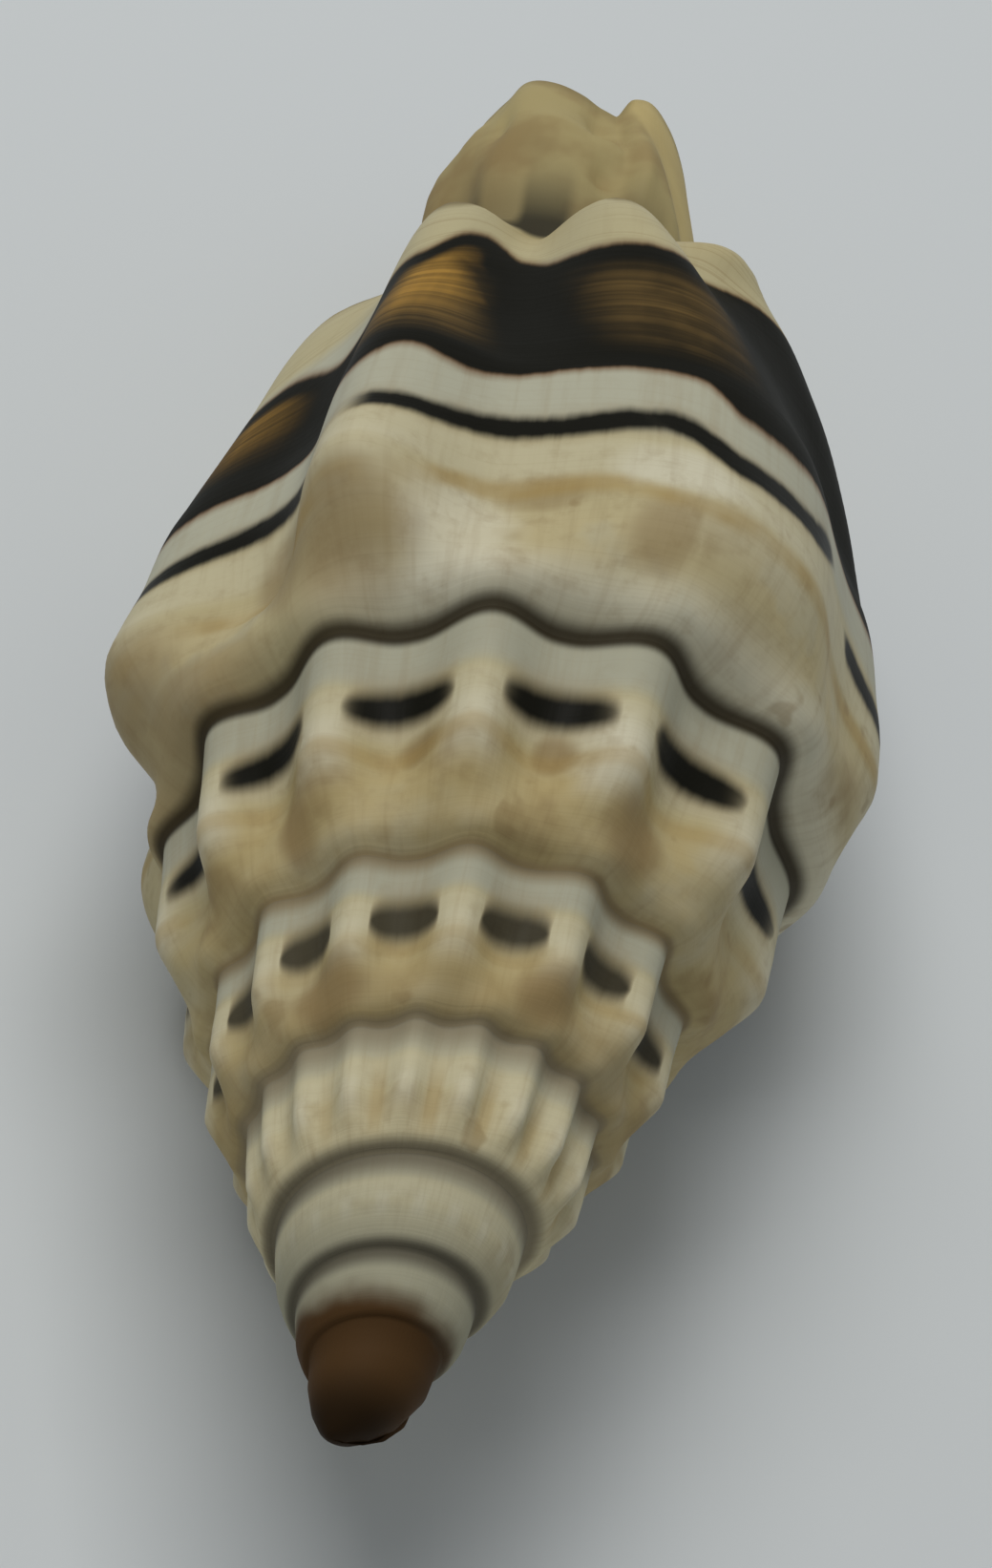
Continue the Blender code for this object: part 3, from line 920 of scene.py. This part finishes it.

# The canal: tan and dull, its strap a little yellower, its neck in painted shade at the back, and
# painted shade on its left side.
base_knob = product(between(turn, 0.075, 0.150, 0.012), rises(place, 0.835, 0.815))
later = total(
    rises(turn, -0.33, -0.18, 0.10, 0.0),
    rises(turn, 0.14, 0.20, 0.0, 0.05),
    product(between(turn, -0.045, 0.025, 0.012), 0.055),
)
canal = rises(less(place, later), CANAL_START - 0.013, CANAL_START + 0.013)
canal = product(canal, less(1.0, base_knob))
strap = less(turn, product(less(1.0, place), STRAP_SLANT))
strap = rises(strap, STRAP_TURN - 0.01, STRAP_TURN + 0.012)
horn = product(rises(patches, 0.42, 0.64), rises(strap, 0.0, 1.0, 0.50, 0.12))
horn = painted(horn, painted(strap, CANAL_TAN, STRAP_TAN), BROWN_SMUDGE)
# Painted shade on the left side of the canal.
left_side_shade = product(between(turn, -0.24, -0.05, 0.03), rises(place, 0.97, 0.92, 0.0, 0.40))
horn = painted(left_side_shade, horn, BROWN_SMUDGE)
neck = product(
    rises(place, 0.935, 0.850),
    rises(strap, 1.0, 0.0, 0.45, 0.95),
    between(turn, -0.170, 0.140, 0.070),
    rises(crest, 0.75, 0.25, 0.45, 1.0),
)
horn = painted(neck, horn, NECK_SHADE)
ground = painted(canal, ground, horn)

# The grey young whorls, and the sutures, whose dark lines are partly the shell's own colour and
# partly painted shade in the groove: dark brown, then olive, brown and grey.
ground = painted(rises(turn, -3.6, -3.3, 0.35, 0.0), ground, WORN_GREY)
ground = painted(rises(axis, 5.6, 4.2, 0.0, 0.80), ground, WORN_GREY)
seam_width = total(rises(turn, -1.2, -3.6, 0.0105, 0.050), rises(turn, -0.7, -0.5, 0.0, 0.0065))
seam_soft = rises(turn, -1.6, -0.6, 0.75, 0.70)
outer_seam = less(sums("DIVIDE", place, seam_width), 1.0)
outer_seam = rises(sums("DIVIDE", outer_seam, seam_soft), 1.0, -1.0)
under_seam = less(sums("DIVIDE", less(JOIN, place), seam_width), 1.0)
under_seam = product(
    rises(sums("DIVIDE", under_seam, seam_soft), 1.0, -1.0),
    rises(turn, LIP_TURN - 0.998, LIP_TURN - 1.002),
    rises(place, JOIN + 0.004, JOIN + 0.001),
)
# The suture lines: partly the shell's own dark colour, partly painted shade in the groove where the
# whorls meet.
seam_shade = sums("MAXIMUM", outer_seam, under_seam)
seam_turn = total(turn, rises(place, 0.20, 0.26, 0.0, 1.0))
seam_shade_tint = painted(rises(seam_turn, -1.2, -2.0), SEAM_OLIVE, SEAM_BROWN)
seam_shade_tint = painted(rises(seam_turn, -2.3, -3.4), seam_shade_tint, SEAM_GREY)
seam_shade_tint = painted(rises(seam_turn, -0.75, -0.45), seam_shade_tint, SUTURE_BROWN)
ground = painted(product(seam_shade, rises(seam_turn, -0.9, -0.6, 0.80, 0.95)), ground, seam_shade_tint)

# The worn tip and the inside.
point = painted(rises(axis, 2.3, 1.4), TIP_BROWN, TIP_BLACK)
ground = painted(rises(total(axis, product(blots, 0.6)), 4.2, 3.5), ground, point)
ground = painted(inner, ground, PORCELAIN)
tree.links.new(ground, gloss.inputs["Base Color"])

# A soft gloss on the last whorl, dull on the spire, the band and the canal.
dull = total(
    rises(axis, 14.0, 4.0, 0.46, 0.62),
    product(sums("MAXIMUM", canal, band), 0.14),
    product(torn, 0.12),
)
tree.links.new(dull, gloss.inputs["Roughness"])
gloss.inputs["Specular IOR Level"].default_value = 0.05
height = total(
    product(growth_lines, 0.35), product(fine_lines, 0.15), product(threads, 0.40)
)
bump = tree.nodes.new("ShaderNodeBump")
bump.inputs["Strength"].default_value = 0.18
bump.inputs["Distance"].default_value = 0.00010
tree.links.new(height, bump.inputs["Height"])
tree.links.new(bump.outputs[0], gloss.inputs["Normal"])

shell_mesh.materials.append(shell_look)
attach(shell, "root")
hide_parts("shell")


# ---------------------------------------------------------------- table
# The shell lies on a plain pale board, far wider than the view.

bm = bmesh.new()
bmesh.ops.create_grid(bm, x_segments=1, y_segments=1, size=0.6)
board_mesh = bpy.data.meshes.new("board")
bm.to_mesh(board_mesh)
bm.free()
board = bpy.data.objects.new("board", board_mesh)
scene.collection.objects.link(board)
board_look = bpy.data.materials.new("pale_board")
board_look.use_nodes = True
board_paint = board_look.node_tree.nodes["Principled BSDF"]
board_paint.inputs["Base Color"].default_value = (0.62, 0.648, 0.657, 1)
board_paint.inputs["Roughness"].default_value = 0.75
board_mesh.materials.append(board_look)


# ---------------------------------------------------------------- light
# A wide soft window high behind the left shoulder of the shell, and an even pale room.

window_light = bpy.data.lights.new("window", "AREA")
window_light.shape = "RECTANGLE"
window_light.size = 0.25
window_light.size_y = 0.18
window_light.energy = 0.78
window_light.color = (1.0, 0.99, 0.97)
window = bpy.data.objects.new("window", window_light)
window.location = (-0.064, 0.122, 0.33)
window.rotation_euler = (-window.location).to_track_quat("-Z", "Y").to_euler()
scene.collection.objects.link(window)

room = bpy.data.worlds.new("room")
room.use_nodes = True
room.node_tree.nodes["Background"].inputs["Color"].default_value = (0.93, 0.97, 1.0, 1)
room.node_tree.nodes["Background"].inputs["Strength"].default_value = 0.30
scene.world = room
scene.view_settings.view_transform = "Standard"


# ---------------------------------------------------------------- camera
# Close above the tip, looking along the back of the shell towards its canal.

camera_data = bpy.data.cameras.new("camera")
camera_data.sensor_fit = "VERTICAL"
camera_data.sensor_height = 36
camera_data.lens = 81.91
camera_data.clip_start = 0.005
camera = bpy.data.objects.new("camera", camera_data)
camera.location = (-0.00419, -0.05546, 0.06666)
camera.rotation_euler = [math.radians(turned) for turned in (39.82, -10.99, 8.11)]
scene.collection.objects.link(camera)
scene.camera = camera
